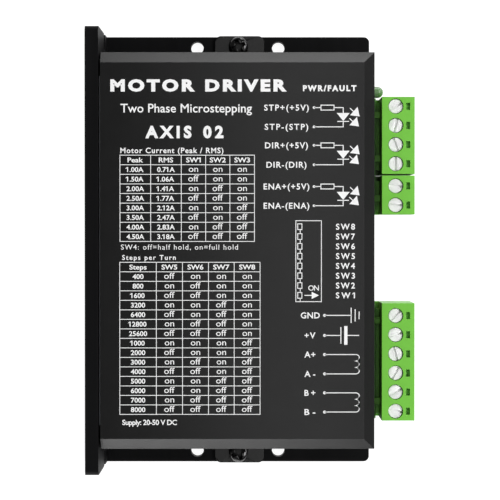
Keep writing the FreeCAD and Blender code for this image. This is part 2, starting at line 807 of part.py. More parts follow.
def lamp(name, y, z):
    """A round indicator that points at +X, with a dome in front and a flange behind."""
    flange_end = "lamp_flange_x + lamp_flange_thickness"
    flange = rod("lamp_flange_radius", ("lamp_flange_x", flange_end), y, z)
    barrel = rod("lamp_radius", (flange_end, "lamp_dome_x"), y, z)
    dome = ball("lamp_radius", "lamp_dome_x", y, z)
    node(name, fuse(flange, barrel, dome))


def power_transistors():
    pieces = []
    for y in transistor_heights():
        across = centred(y, "transistor_width")
        tab = box((PAD_FRONT_X, f"{PAD_FRONT_X} + tab_sheet"), across,
                  ("transistor_low_z", "transistor_tab_high_z"))
        case = box((f"{PAD_FRONT_X} + tab_sheet", "transistor_front_x"), across,
                   ("transistor_low_z", "transistor_body_high_z"))
        pieces.append(fuse(tab, case))
    legs = [box(centred("transistor_leg_x", "leg_size"), centred(y, "transistor_leg_width"),
                ("leg_low_z", "transistor_low_z")) for y in transistor_leg_heights()]
    node("power_transistors", fuse(*pieces, *legs))


def thermal_pad():
    pad = box((WALL_INNER_X, PAD_FRONT_X), ("-pad_half_y", "pad_half_y"), ("pad_low_z", "pad_high_z"))
    hole = rod("screw_hole_radius", (WALL_INNER_X, PAD_FRONT_X), "0", "clamp_screw_z")
    node("thermal_pad", cut(pad, hole))


def clamp_bar():
    run = ("transistor_front_x", BAR_FRONT_X)
    bar = box(run, ("-bar_half_y", "bar_half_y"), ("bar_low_z", "bar_high_z"))
    holes = [rod("screw_hole_radius", run, y, "clamp_screw_z") for y in CLAMP_SCREW_YS]
    node("clamp_bar", cut(bar, *holes))


def clamp_screws():
    screws = []
    for y in CLAMP_SCREW_YS:
        shank = rod("shank_radius", ("clamp_screw_tip_x", BAR_FRONT_X), y, "clamp_screw_z")
        head = rod("head_radius", (BAR_FRONT_X, f"{BAR_FRONT_X} + head_height"), y, "clamp_screw_z")
        screws.append(fuse(shank, head))
    node("clamp_screws", group(*screws))


def capacitors():
    height = (BOARD_TOP_Z, "capacitor_high_z")
    node("capacitors", group(*(rod("capacitor_radius", "capacitor_x", y, height)
                               for y in ("capacitor_low_y", "capacitor_high_y"))))


def inductor():
    """A drum core: two flanges and the winding between them."""
    top = f"{BOARD_TOP_Z} + coil_height"
    drum = rod("coil_radius", "coil_x", "coil_y", (BOARD_TOP_Z, top))
    bore = rod("coil_core_radius", "coil_x", "coil_y", (f"{top} - coil_flange", top))
    node("inductor", cut(drum, bore))


def controller_chip():
    node("controller_chip", box(centred("chip_x", "chip_size"), centred("chip_y", "chip_size"),
                                (BOARD_TOP_Z, f"{BOARD_TOP_Z} + chip_height")))


def optocouplers():
    height = (BOARD_TOP_Z, f"{BOARD_TOP_Z} + opto_height")
    node("optocouplers", group(*(box(centred("opto_x", "opto_size_x"),
                                     centred(f"opto_first_y + {n} * opto_pitch", "opto_size_y"), height)
                                 for n in range(OPTOCOUPLERS))))


def sense_resistors():
    height = (BOARD_TOP_Z, f"{BOARD_TOP_Z} + sense_height")
    node("sense_resistors", group(*(box(centred("sense_x", "sense_size_x"),
                                        centred(f"{side} * sense_y", "sense_size_y"), height)
                                    for side in SIDES)))


def terminal_blocks():
    for name, (first, poles, keys) in TERMINAL_BLOCKS.items():
        is_power = name == "power"
        socket_name = "power_header" if is_power else name.replace("signal", "signal_header")
        plug_name = "power_plug" if is_power else name.replace("signal", "signal_plug")
        socket(socket_name, first, poles, keys, SOCKET_LIPS[name])
        plug(plug_name, first, poles, keys, PLUG_LIPS[name])
        contacts(f"contacts_{name}", first, poles)
    for index, (_, y) in enumerate(all_poles()):
        terminal_screw(f"terminal_screw_{index + 1}", y, TERMINAL_SLOT_ANGLES[index])
        wire_clamp(f"wire_clamp_{index + 1}", y)


def check_and_export():
    doc.recompute()
    for obj in doc.Objects:
        if "Invalid" in obj.State or "Error" in obj.State:
            raise RuntimeError(f"{obj.Name} ({obj.Label}) did not compute: {obj.State}")
    os.makedirs("parts", exist_ok=True)
    for name, obj in nodes.items():
        if obj.Shape.isNull() or not obj.Shape.isValid() or not obj.Shape.Solids:
            raise RuntimeError(f"{name} has no valid solid")
    for name, obj in nodes.items():
        obj.Shape.exportStep(f"parts/{name}.step")
    print(f"{len(nodes)} sub-parts written")


fill_sheet()
heat_sink()
cover()
cover_screws()
circuit_board()
board_spacers()
board_screws()
terminal_blocks()
header_pins()
switch_housing()
for lever in range(LEVERS):
    switch_lever(lever)
lamp("power_led", "power_lamp_y", "power_lamp_z")
lamp("alarm_led", "alarm_lamp_y", "alarm_lamp_z")
power_transistors()
thermal_pad()
clamp_bar()
clamp_screws()
capacitors()
inductor()
controller_chip()
optocouplers()
sense_resistors()
check_and_export()
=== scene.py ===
import bmesh
import bpy
import json
import math
from mathutils import Matrix, Vector


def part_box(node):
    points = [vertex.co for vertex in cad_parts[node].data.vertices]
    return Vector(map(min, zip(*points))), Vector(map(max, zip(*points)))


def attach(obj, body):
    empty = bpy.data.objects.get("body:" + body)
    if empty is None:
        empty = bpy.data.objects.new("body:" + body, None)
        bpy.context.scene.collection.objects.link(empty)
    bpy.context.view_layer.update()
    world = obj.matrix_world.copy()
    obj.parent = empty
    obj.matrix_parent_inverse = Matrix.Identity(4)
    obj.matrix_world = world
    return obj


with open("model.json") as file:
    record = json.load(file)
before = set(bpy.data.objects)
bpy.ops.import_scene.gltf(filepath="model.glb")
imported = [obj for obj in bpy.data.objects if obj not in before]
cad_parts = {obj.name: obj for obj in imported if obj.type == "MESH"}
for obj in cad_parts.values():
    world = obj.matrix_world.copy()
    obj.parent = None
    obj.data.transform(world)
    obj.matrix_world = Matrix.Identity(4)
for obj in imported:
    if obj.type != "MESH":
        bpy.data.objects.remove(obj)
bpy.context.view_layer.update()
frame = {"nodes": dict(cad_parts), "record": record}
scene = bpy.context.scene
scene.view_settings.view_transform = "Standard"
MM = 0.001
WHITE = (1, 1, 1, 1)


# ---- nodes of a material ----

def add_node(tree, kind, inputs=None, **settings):
    """A new node with its own settings and the values of its unlinked inputs."""
    node = tree.nodes.new(kind)
    for name, value in settings.items():
        setattr(node, name, value)
    for name, value in (inputs or {}).items():
        node.inputs[name].default_value = value
    return node


def join(tree, start, output, end, entry):
    tree.links.new(start.outputs[output], end.inputs[entry])


# ---- camera and lights ----

CAMERA_PLACE = Vector((3.4 * MM, 6 * MM, 524 * MM))
CAMERA_AIM = Vector((3.4 * MM, 0, 14.5 * MM))
SENSOR_WIDTH, FOCAL_LENGTH = 36, 134.7
WORLD_LIGHT = 0.12
# name, place, the point that it faces, width and height, all in metres, and radiance
SOFTBOXES = (
    ("overhead", (0.05, 0, 0.9), (0.05, 0, 0), 0.13, 1.5, 1.45),
    ("key", (0.95, 0.1, 1.1), (0, 0, 0.02), 1.8, 0.7, 5.6),
    ("top_side", (0.56, 1.1, 0.125), (0.3, 0, 0.02), 1.4, 0.25, 9.7),
    ("bottom_side", (-0.59, -1.1, 0.16), (-0.4, 0, 0.02), 1.3, 0.34, 11.2),
)


def set_camera():
    """Almost straight down on the printed face, from a little above its middle."""
    data = bpy.data.cameras.new("camera")
    data.sensor_width = SENSOR_WIDTH
    data.lens = FOCAL_LENGTH
    data.clip_start = 0.01
    camera = bpy.data.objects.new("camera", data)
    camera.location = CAMERA_PLACE
    lean = math.atan2(CAMERA_PLACE.y - CAMERA_AIM.y, CAMERA_PLACE.z - CAMERA_AIM.z)
    camera.rotation_euler = (-lean, 0, 0)
    scene.collection.objects.link(camera)
    scene.camera = camera


def add_softbox(name, place, target, width, height, radiance):
    """A rectangular light that faces the target."""
    data = bpy.data.lights.new(name, "AREA")
    data.shape = "RECTANGLE"
    data.size, data.size_y = width, height
    data.energy = radiance * math.pi * width * height
    light = bpy.data.objects.new(name, data)
    light.location = place
    direction = Vector(target) - Vector(place)
    light.rotation_euler = direction.to_track_quat("-Z", "Y").to_euler()
    light.visible_camera = False
    scene.collection.objects.link(light)


def set_lights():
    world = bpy.data.worlds.new("studio")
    world.use_nodes = True
    background = world.node_tree.nodes["Background"]
    background.inputs["Color"].default_value = WHITE
    background.inputs["Strength"].default_value = WORLD_LIGHT
    scene.world = world
    for softbox in SOFTBOXES:
        add_softbox(*softbox)


# ---- floor ----

FLOOR_HALF_WIDTH = 3
FLOOR_DROP = 0.05 * MM             # keeps the floor off the plane of the base plate's underside
GLOW_START, GLOW_END = 104 * MM, 240 * MM    # distances from the origin
NEAR_GLOW, FAR_GLOW = 0.96, 0.10   # the paper's own light inside GLOW_START and outside GLOW_END
SHADE_EDGE = 4 * MM                # the width of the shade's soft edge
SHADE_REACH = 3 * MM               # how far the shade runs in under the cover
SHADED_GROUPS = (("signal_plug_4", "signal_plug_2"), ("power_plug",))


def shade_floor_under(tree, place, light, names):
    """Takes the floor's own light away under the plugs, which stand over it, with a soft edge."""
    boxes = [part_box(name) for name in names]
    low = [min(box[0][axis] for box in boxes) for axis in range(2)]
    high = [max(box[1][axis] for box in boxes) for axis in range(2)]
    low[0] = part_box("cover")[1][0] - SHADE_REACH
    middle = ((low[0] + high[0]) / 2, (low[1] + high[1]) / 2, 0)
    offset = add_node(tree, "ShaderNodeVectorMath", {1: middle}, operation="SUBTRACT")
    join(tree, place, "Object", offset, 0)
    distance = add_node(tree, "ShaderNodeVectorMath", operation="ABSOLUTE")
    join(tree, offset, "Vector", distance, 0)
    apart = add_node(tree, "ShaderNodeSeparateXYZ")
    join(tree, distance, "Vector", apart, "Vector")
    inside = add_node(tree, "ShaderNodeMath", operation="MULTIPLY")
    for axis in range(2):
        half = (high[axis] - low[axis]) / 2
        fade = add_node(tree, "ShaderNodeMapRange",
                        {"From Min": half - SHADE_EDGE, "From Max": half, "To Min": 1, "To Max": 0})
        join(tree, apart, axis, fade, "Value")
        join(tree, fade, "Result", inside, axis)
    outside = add_node(tree, "ShaderNodeMath", {0: 1}, operation="SUBTRACT")
    join(tree, inside, "Value", outside, 1)
    dimmed = add_node(tree, "ShaderNodeMath", operation="MULTIPLY")
    join(tree, light, 0, dimmed, 0)
    join(tree, outside, "Value", dimmed, 1)
    return dimmed


def add_floor():
    """White paper, whose own light fades away from the driver and is taken away under the plugs."""
    half = FLOOR_HALF_WIDTH
    corners = [(x, y, -FLOOR_DROP) for x, y in ((-half, -half), (half, -half), (half, half), (-half, half))]
    mesh = bpy.data.meshes.new("floor")
    mesh.from_pydata(corners, [], [(0, 1, 2, 3)])
    floor = bpy.data.objects.new("floor", mesh)
    scene.collection.objects.link(floor)
    paper = finish("floor_paper", (0.24, 0.24, 0.24), 0.9, (900, 0.02), specular=0.1, tint=0.01)
    tree = paper.node_tree
    shader = tree.nodes["Principled BSDF"]
    shader.inputs["Emission Color"].default_value = WHITE
    place = add_node(tree, "ShaderNodeTexCoord")
    reach = add_node(tree, "ShaderNodeVectorMath", operation="LENGTH")
    join(tree, place, "Object", reach, 0)
    light = add_node(tree, "ShaderNodeMapRange",
                     {"From Min": GLOW_START, "From Max": GLOW_END, "To Min": NEAR_GLOW, "To Max": FAR_GLOW},
                     interpolation_type="SMOOTHSTEP")
    join(tree, reach, "Value", light, "Value")
    for names in SHADED_GROUPS:
        light = shade_floor_under(tree, place, light, names)
    join(tree, light, 0, shader, "Emission Strength")
    mesh.materials.append(paper)


# ---- materials ----

CLOUD_SCALE = 180                  # how fine the patches of a surface are, in 1/m
LEAST_ROUGHNESS = 0.02
RECESS_SHADE_DISTANCE = 5 * MM            # how far around a place its openness is measured, for the painted shade in recesses
DRAWN = (1, 0.05, 1)               # a grain that is drawn out along Y
METAL = {"metallic": 1.0}
# painted shade in the plastic's narrow recesses, such as grooves, slits and screw wells: how much, the
# openness at which it is full, and the one at which it ends
PLASTIC_RECESS_SHADE = (0.85, 0.03, 0.22)
# by slot: name, colour, roughness, grain (scale in 1/m, height in mm), rounding of the edges in mm,
# and the other settings of finish
FINISHES = {
    "black_anodised": ("black_anodised", (0.0040, 0.0040, 0.0044), 0.50, (2600, 0.006), 0.25,
                       {"specular": 0.07, "tint": 0.25, "stretch": DRAWN, "rough_spread": 0.08}),
    "cover_paint": ("cover_paint", (0.0010, 0.0010, 0.0010), 0.25, (1500, 0.004), 0.22,
                    {"specular": 0.46, "tint": 0.3, "rough_spread": 0.03}),
    # the screws' recesses, such as the cross, get painted shade, which darkens their reflections
    "black_screws": ("black_zinc", (0.060, 0.060, 0.060), 0.17, (2500, 0.002), 0.12,
                     {"metallic": 1.0, "tint": 0.3, "recess_shade": (0.97, 0.35, 0.85)}),
    "board": ("solder_mask", (0.012, 0.085, 0.035), 0.35, (500, 0.02), 0.05, {"tint": 0.25}),
    "spacer_brass": ("brass", (0.72, 0.52, 0.22), 0.3, (3000, 0.004), 0.1, METAL),
    "zinc_screws": ("zinc", (0.62, 0.63, 0.65), 0.32, (3000, 0.004), 0.1, METAL),
    # the socket's green is the plug's green darkened as painted shade, and its recesses get painted shade as
    # well
    "socket_plastic": ("socket_plastic", (0.11, 0.33, 0.06), 0.42, (1800, 0.01), 0.12,
                       {"specular": 0.35, "recess_shade": PLASTIC_RECESS_SHADE}),
    "tinned_pins": ("tin", (0.78, 0.77, 0.74), 0.3, (2500, 0.004), 0.08, METAL),
    "switch_red": ("switch_red", (0.42, 0.018, 0.014), 0.4, (2000, 0.008), 0.12, {}),
    "lever_white": ("lever_white", (0.80, 0.80, 0.77), 0.38, (2000, 0.006), 0.1, {"tint": 0.02}),
    "green_lens": ("green_lens", (0.14, 0.265, 0.11), 0.16, (1200, 0.004), 0.1, {"transmission": 0.1}),
    "red_lens": ("red_lens", (0.55, 0.05, 0.035), 0.12, (1200, 0.004), 0.1, {"transmission": 0.35}),
    # the plug's recesses get painted shade as well
    "plug_plastic": ("plug_plastic", (0.176, 0.565, 0.053), 0.42, (1600, 0.010), 0.3,
                     {"specular": 0.35, "tint": 0.04, "recess_shade": PLASTIC_RECESS_SHADE}),
    "contact_metal": ("contact_tin", (0.74, 0.72, 0.66), 0.32, (2500, 0.004), 0.06, METAL),
    "transistor_case": ("moulded_epoxy", (0.022, 0.022, 0.024), 0.6, (1800, 0.02), 0.1, {}),
    "thermal_rubber": ("thermal_rubber", (0.38, 0.40, 0.43), 0.8, (900, 0.02), 0.03, {}),
    "clamp_steel": ("clamp_steel", (0.58, 0.59, 0.60), 0.34, (2500, 0.006), 0.15,
                    {"metallic": 1.0, "stretch": DRAWN}),
    "capacitor_sleeve": ("sleeve", (0.012, 0.013, 0.02), 0.25, (400, 0.02), 0.3, {}),
    "ferrite": ("ferrite", (0.05, 0.05, 0.052), 0.7, (1500, 0.03), 0.3, {}),
    "chip_case": ("chip_epoxy", (0.02, 0.02, 0.022), 0.55, (2400, 0.01), 0.08, {}),
    "resistor_case": ("resistor_epoxy", (0.035, 0.035, 0.04), 0.5, (2000, 0.01), 0.06, {}),
    # the terminal screws' nickel: near-white, far paler than the clamp's nickel, a painted sheen for the
    # bright plated heads
    "terminal_nickel": ("nickel", (0.97, 0.97, 0.96), 0.40, (2600, 0.006), 0.08,
                        {"metallic": 0.2, "tint": 0.05}),
    "clamp_nickel": ("clamp_nickel", (0.66, 0.65, 0.60), 0.34, (2600, 0.006), 0.08, METAL),
}
# the slots whose nodes get whole flat faces before their edges are rounded
WHOLE_FACED_SLOTS = ("plug_plastic", "socket_plastic", "switch_red")
WELD_DISTANCE = 0.001 * MM
FLAT_ANGLE, EDGE_ANGLE = math.radians(0.5), math.radians(32)


def finish(name, colour, roughness, grain, metallic=0.0, specular=0.5, tint=0.06, rough_spread=0.05,
           stretch=(1, 1, 1), transmission=0.0, recess_shade=None):
    """A surface with its own colour variation, roughness variation and grain.

    grain is (scale in 1/m, height in mm); stretch draws the grain out. tint is how far the colour varies.
    recess_shade, the last argument, sets the painted shade that darkens narrow recesses."""
    material = bpy.data.materials.new(name)
    material.use_nodes = True
    tree = material.node_tree
    shader = tree.nodes["Principled BSDF"]
    place = add_node(tree, "ShaderNodeTexCoord")
    mapping = add_node(tree, "ShaderNodeMapping", {"Scale": stretch})
    join(tree, place, "Object", mapping, "Vector")

    clouds = add_node(tree, "ShaderNodeTexNoise", {"Scale": CLOUD_SCALE, "Detail": 4.0, "Roughness": 0.6})
    join(tree, mapping, "Vector", clouds, "Vector")
    shade = add_node(tree, "ShaderNodeValToRGB")
    low, high = shade.color_ramp.elements
    low.position, high.position = 0.3, 0.7
    low.color = (*(c * (1 - tint) for c in colour), 1)
    high.color = (*(min(1, c * (1 + tint)) for c in colour), 1)
    join(tree, clouds, "Fac", shade, "Fac")
    # painted shade: the colour darkened in narrow recesses
    if recess_shade:
        shaded_colour = add_grime(tree, shade, *recess_shade)
        join(tree, shaded_colour, "Vector", shader, "Base Color")
    else:
        join(tree, shade, "Color", shader, "Base Color")

    haze = add_node(tree, "ShaderNodeMapRange", {"To Min": max(LEAST_ROUGHNESS, roughness - rough_spread),
                                                 "To Max": min(1, roughness + rough_spread)})
    join(tree, clouds, "Fac", haze, "Value")
    join(tree, haze, "Result", shader, "Roughness")

    scale, height = grain
    pores = add_node(tree, "ShaderNodeTexNoise", {"Scale": scale, "Detail": 3.0, "Roughness": 0.55})
    join(tree, mapping, "Vector", pores, "Vector")
    relief = add_node(tree, "ShaderNodeBump", {"Distance": height * MM, "Strength": 1.0})
    join(tree, pores, "Fac", relief, "Height")
    join(tree, relief, "Normal", shader, "Normal")

    shader.inputs["Metallic"].default_value = metallic
    shader.inputs["Specular IOR Level"].default_value = specular
    shader.inputs["Transmission Weight"].default_value = transmission
    return material


def add_grime(tree, shade, amount, closed, open_sky):
    """The colour of shade, darkened in narrow recesses by painted shade.

    amount is how much, closed the openness at which it is full, and open_sky the one at which it ends."""
    hidden = add_node(tree, "ShaderNodeAmbientOcclusion", {"Distance": RECESS_SHADE_DISTANCE}, samples=8)
    painted_darkening = add_node(tree, "ShaderNodeMapRange",
                    {"From Min": closed, "From Max": open_sky, "To Min": 1 - amount})
    join(tree, hidden, "AO", painted_darkening, "Value")
    shaded_colour = add_node(tree, "ShaderNodeVectorMath", operation="SCALE")
    join(tree, shade, "Color", shaded_colour, "Vector")
    join(tree, painted_darkening, "Result", shaded_colour, "Scale")
    return shaded_colour


def paint_nodes():
    """Every CAD node gets its finish and slightly rounded edges."""
    looks = {}
    for slot_name, (name, colour, roughness, grain, rounding, others) in FINISHES.items():
        looks[slot_name] = finish(name, colour, roughness, grain, **others), rounding
    for part in frame["record"]["subparts"]:
        slot_name = part["material_slot"]
        material, rounding = looks[slot_name]
        obj = frame["nodes"][part["node"]]
        for slot in obj.material_slots:
            slot.material = material
        soften(obj, rounding, slot_name in WHOLE_FACED_SLOTS)


def soften(obj, rounding, flatten):
    """Join the split corners of a mesh and round its sharp edges; flatten makes its flat faces whole."""
    weld = obj.modifiers.new("weld", "WELD")
    weld.merge_threshold = WELD_DISTANCE
    if flatten:
        whole = obj.modifiers.new("whole", "DECIMATE")
        whole.decimate_type = "DISSOLVE"
        whole.angle_limit = FLAT_ANGLE
    bevel = obj.modifiers.new("bevel", "BEVEL")
    bevel.width = rounding * MM
    bevel.segments = 2
    bevel.limit_method = "ANGLE"
    bevel.angle_limit = EDGE_ANGLE
    bevel.use_clamp_overlap = True
    smooth = obj.modifiers.new("smooth", "WEIGHTED_NORMAL")
    smooth.keep_sharp = False


# ---- ink and its marks, in millimetres; what is multiplied by MM is in metres ----

INK_DEPTH, INK_HEIGHT = 0.01 * MM, 0.02 * MM    # how far the ink goes into the face and stands out of it
MERGE_DISTANCE = 0.0005 * MM
LINE_WIDTH, TABLE_LINE_WIDTH = 0.23, 0.17
DISC_SIDES = 20
SHARPEST_MITRE = 0.3
# how far each weight thickens a letter all round, at size 1
BLACK, HEAVY, BOLD, MEDIUM, REGULAR = 0.055, 0.048, 0.020, 0.009, 0.002
CAPITAL = 0.69                                  # a capital's height at size 1, before it is thickened
TRIAL_SPACING = 1.5                             # a second spacing, to learn how a text widens
TIGHTEST_SPACING, WIDEST_SPACING = 0.85, 1.6
# the flag of a 1 at size 1: its length, how far its tip drops, and its thickness at the tip and the stem
FLAG_LENGTH, FLAG_DROP, FLAG_TIP, FLAG_ROOT = 0.19, 0.15, 0.13, 0.14


class Print:
    """Flat marks of ink, gathered into one thin closed mesh. Places on the face are in millimetres."""

    def __init__(self, face):
        self.mesh = bmesh.new()
        self.low, self.high = face - INK_DEPTH, face + INK_HEIGHT
        self.cache = {}

    def shape(self, outline):
        """A mark with any outline, given counterclockwise or clockwise."""
        bottom, top = [[self.mesh.verts.new((x * MM, y * MM, z)) for x, y in outline]
                       for z in (self.low, self.high)]
        self.mesh.faces.new(bottom)
        self.mesh.faces.new(top)
        for n in range(len(outline)):
            after = (n + 1) % len(outline)
            self.mesh.faces.new((bottom[n], bottom[after], top[after], top[n]))

    def disc(self, x, y, radius):
        turns = [2 * math.pi * n / DISC_SIDES for n in range(DISC_SIDES)]
        self.shape([(x + radius * math.cos(t), y + radius * math.sin(t)) for t in turns])

    def line(self, corners, width=LINE_WIDTH, closed=False):
        """A line with mitred corners."""
        points = [Vector(corner) for corner in corners]
        count = len(points)
        sides = []
        for n, point in enumerate(points):
            before = points[n - 1] if closed or n else None
            after = points[(n + 1) % count] if closed or n < count - 1 else None
            ways = [(b - a).normalized() for a, b in ((before, point), (point, after))
                    if a is not None and b is not None]
            normals = [Vector((-way.y, way.x)) for way in ways]
            mitre = sum(normals, Vector((0, 0))).normalized()
            reach = width / 2 / max(SHARPEST_MITRE, mitre.dot(normals[0]))
            sides.append((point + mitre * reach, point - mitre * reach))
        if not closed:
            self.shape([tuple(a) for a, _ in sides] + [tuple(b) for _, b in reversed(sides)])
            return
        corner_verts = [[self.mesh.verts.new((p.x * MM, p.y * MM, z)) for p in pair
                         for z in (self.low, self.high)] for pair in sides]
        for n in range(count):
            a, b = corner_verts[n], corner_verts[(n + 1) % count]
            for i, j in ((0, 1), (1, 3), (3, 2), (2, 0)):
                self.mesh.faces.new((a[i], a[j], b[j], b[i]))

    def rectangle(self, left, right, low, high, width=LINE_WIDTH):
        """A line along the four sides of a rectangle."""
        self.line([(left, low), (right, low), (right, high), (left, high)], width, closed=True)

    def grid(self, columns, rows):
        """A ruled table: lines at each column and row, joined where they cross."""
        half = TABLE_LINE_WIDTH / 2
        xs = [x + side * half for x in sorted(columns) for side in (-1, 1)]
        ys = [y + side * half for y in sorted(rows) for side in (-1, 1)]
        flat = {}

        def corner(i, j):
            if (i, j) not in flat:
                flat[i, j] = self.mesh.verts.new((xs[i] * MM, ys[j] * MM, self.low))
            return flat[i, j]

        faces = [self.mesh.faces.new((corner(i, j), corner(i + 1, j), corner(i + 1, j + 1), corner(i, j + 1)))
                 for i in range(len(xs) - 1) for j in range(len(ys) - 1) if i % 2 == 0 or j % 2 == 0]
        raised = bmesh.ops.extrude_face_region(self.mesh, geom=faces)["geom"]
        for item in raised:
            if isinstance(item, bmesh.types.BMVert):
                item.co.z = self.high

    def glyphs(self, text, weight, spacing):
        """Corners, faces and extent of a text at size 1."""
        key = (text, weight, round(spacing, 3))
        if key not in self.cache:
            curve = bpy.data.curves.new("letters", "FONT")
            curve.body = text
            curve.offset = weight
            curve.space_character = spacing
            curve.extrude = 0.5
            curve.resolution_u = 3
            holder = bpy.data.objects.new("letters", curve)
            mesh = bpy.data.meshes.new_from_object(holder)
            corners = [v.co.copy() for v in mesh.vertices]
            faces = [tuple(p.vertices) for p in mesh.polygons]
            bpy.data.objects.remove(holder)
            bpy.data.meshes.remove(mesh)
            bpy.data.curves.remove(curve)
            left = min(c.x for c in corners)
            right = max(c.x for c in corners)
            self.cache[key] = corners, faces, left, right
        return self.cache[key]

    def text(self, text, x, baseline, cap, width, weight, stretch=1.0, align=0.5):
        """A line of text, spaced and then scaled to its width if it is given one.

        x is its left end or its middle by align 0 or 0.5, and cap is a capital's height."""
        size = cap / (CAPITAL + 2 * weight)
        spacing = 1.0
        _, _, left, right = self.glyphs(text, weight, spacing)
        if width is not None and len(text) > 1:
            natural = (right - left) * size * stretch
            _, _, wide_left, wide_right = self.glyphs(text, weight, TRIAL_SPACING)
            gain = ((wide_right - wide_left) - (right - left)) * size * stretch / (TRIAL_SPACING - 1)
            spacing = min(WIDEST_SPACING, max(TIGHTEST_SPACING, 1 + (width - natural) / gain))
        corners, faces, left, right = self.glyphs(text, weight, spacing)
        span = (right - left) * size * stretch
        fit = width / span if width is not None else 1.0
        across = size * stretch * fit
        start = x - align * (right - left) * across
        up = baseline + weight * size
        verts = [self.mesh.verts.new(((start + (c.x - left) * across) * MM, (up + c.y * size) * MM,
                                      self.low if c.z < 0 else self.high)) for c in corners]
        for face in faces:
            self.mesh.faces.new([verts[n] for n in face])
        self.flag_ones(text, weight, spacing, lambda a, b: (start + (a - left) * across, up + b * size))

    def flag_ones(self, text, weight, spacing, place):
        """The font's 1 is a bare stroke: each gets a flag at its top."""
        _, _, stem_left, stem_right = self.glyphs("1", weight, 1.0)
        top = CAPITAL + weight
        tip = top - FLAG_DROP
        for n, letter in enumerate(text):
            if letter == "1":
                _, _, _, right = self.glyphs(text[:n + 1], weight, spacing)
                edge = right - (stem_right - stem_left)
                corners = ((edge, top), (edge - FLAG_LENGTH, tip), (edge - FLAG_LENGTH, tip - FLAG_TIP),
                           (edge, top - FLAG_ROOT))
                self.shape([place(a, b) for a, b in corners])

    def finish(self, name, body, material, turn):
        """Makes the piece, put in its place by turn, and lets it ride on its body."""
        bmesh.ops.remove_doubles(self.mesh, verts=self.mesh.verts, dist=MERGE_DISTANCE)
        bmesh.ops.recalc_face_normals(self.mesh, faces=self.mesh.faces)
        bmesh.ops.transform(self.mesh, matrix=turn, verts=self.mesh.verts)
        mesh = bpy.data.meshes.new(name)
        self.mesh.to_mesh(mesh)
        self.mesh.free()
        mesh.materials.append(material)
        obj = bpy.data.objects.new(name, mesh)
        scene.collection.objects.link(obj)
        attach(obj, body)


# ---- the print on the cover's face ----

LABEL_CAP = 1.6
LABEL_DROP = LABEL_CAP / 2
# text, left end, baseline, capital's height, width, weight and stretch
HEADINGS = (
    ("MOTOR DRIVER", -33.15, 41.45, 3.25, 46.2, BLACK, 1.25),
    ("Two Phase Microstepping", -30.5, 36.0, 2.3, 34.4, MEDIUM, 1.0),
    ("AXIS 02", -24.0, 29.25, 3.3, 20.45, HEAVY, 1.0),
    ("Motor Current (Peak / RMS)", -30.55, 25.35, 1.45, 27.0, BOLD, 1.0),
    ("SW4: off=half hold, on=full hold", -30.4, 0.1, 1.35, 30.65, REGULAR, 1.0),
    ("Steps per Turn", -30.1, -2.6, 1.3, 14.05, BOLD, 1.0),
    ("Supply: 20-50 V DC", -30.1, -45.9, 1.4, 14.35, BOLD, 1.0),
)
# text, middle, baseline, capital's height, width and weight
LAMP_LABEL = ("PWR/FAULT", 24.25, 41.55, LABEL_CAP, 14.0, HEAVY)


def print_headings(ink):
    for text, left, baseline, cap, width, weight, stretch in HEADINGS:
        ink.text(text, left, baseline, cap, width, weight, stretch, align=0)
    ink.text(*LAMP_LABEL)


# x of the upright lines, y of the top line, and the distance from line to line
CURRENT_TABLE = ((-30.65, -22.61, -14.6, -8.21, -1.87, 4.57), 24.83, 2.51)
TURN_TABLE = ((-30.72, -21.15, -14.29, -7.48, -0.75, 6.04), -3.22, 2.493)
# capital's height, how far the baseline lies under the middle of the row, and stretch
STATE_LETTERS = (1.6, 0.6, 1.12)
VALUE_LETTERS = (1.3, 0.65, 1.08)
HEADER_LETTERS = (1.3, 0.65, 1.2)
FIRST_PEAK, PEAK_STEP, PEAK_ROWS = 1.0, 0.5, 8


def print_table(ink, table, headers, rows):
    """rows holds each row's texts; the switch states are set in the regular weight."""
    columns, top, step = table
    ink.grid(columns, [top - step * n for n in range(len(rows) + 2)])
    middles = [(a + b) / 2 for a, b in zip(columns, columns[1:])]
    for n, texts in enumerate([headers] + rows):
        centre = top - step * (n + 0.5)
        for x, text in zip(middles, texts):
            if text in ("on", "off"):
                letters, weight = STATE_LETTERS, REGULAR
            else:
                letters, weight = VALUE_LETTERS if n else HEADER_LETTERS, BOLD
            cap, drop, stretch = letters
            ink.text(text, x, centre - drop, cap, None, weight, stretch)


def switch_states(number, switches):
    """Each switch's word for a row: a one in the row's number is off."""
    return ["off" if number >> bit & 1 else "on" for bit in range(switches)]


def print_tables(ink):
    """Peak and RMS current by three switches, and steps per turn by four."""
    currents = []
    for row in range(PEAK_ROWS):
        peak = FIRST_PEAK + PEAK_STEP * row
        currents.append([f"{peak:.2f}A", f"{peak / math.sqrt(2):.2f}A"] + switch_states(row, 3))
    print_table(ink, CURRENT_TABLE, ["Peak", "RMS", "SW1", "SW2", "SW3"], currents)
    counts = [400 * 2 ** n for n in range(7)] + [1000 * n for n in range(1, 9)]
    turns = [[str(count)] + switch_states(row, 4) for row, count in enumerate(counts, start=1)]
    print_table(ink, TURN_TABLE, ["Steps", "SW5", "SW6", "SW7", "SW8"], turns)


# each signal terminal: its y, its label and the label's width
SIGNAL_TERMINALS = (
    (37.27, "STP+(+5V)", 11.7),
    (32.24, "STP-(STP)", 11.4),
    (27.40, "DIR+(+5V)", 11.25),
    (22.32, "DIR-(DIR)", 10.5),
    (16.63, "ENA+(+5V)", 12.0),
    (11.60, "ENA-(ENA)", 12.0),
)
SIGNAL_LABEL_X, SIGNAL_DOT_X, SIGNAL_DOT_RADIUS = 12.95, 20.16, 0.35
RESISTOR_START_X, RESISTOR_END_X, RESISTOR_HALF = 21.97, 25.39, 0.64
DIODE_X, DIODE_HALF, DIODE_BAR_HALF = 27.79, 1.70, 1.54
DIODE_START, DIODE_TIP, DIODE_BAR = 1.41, 3.50, 3.62     # all down from the upper wire
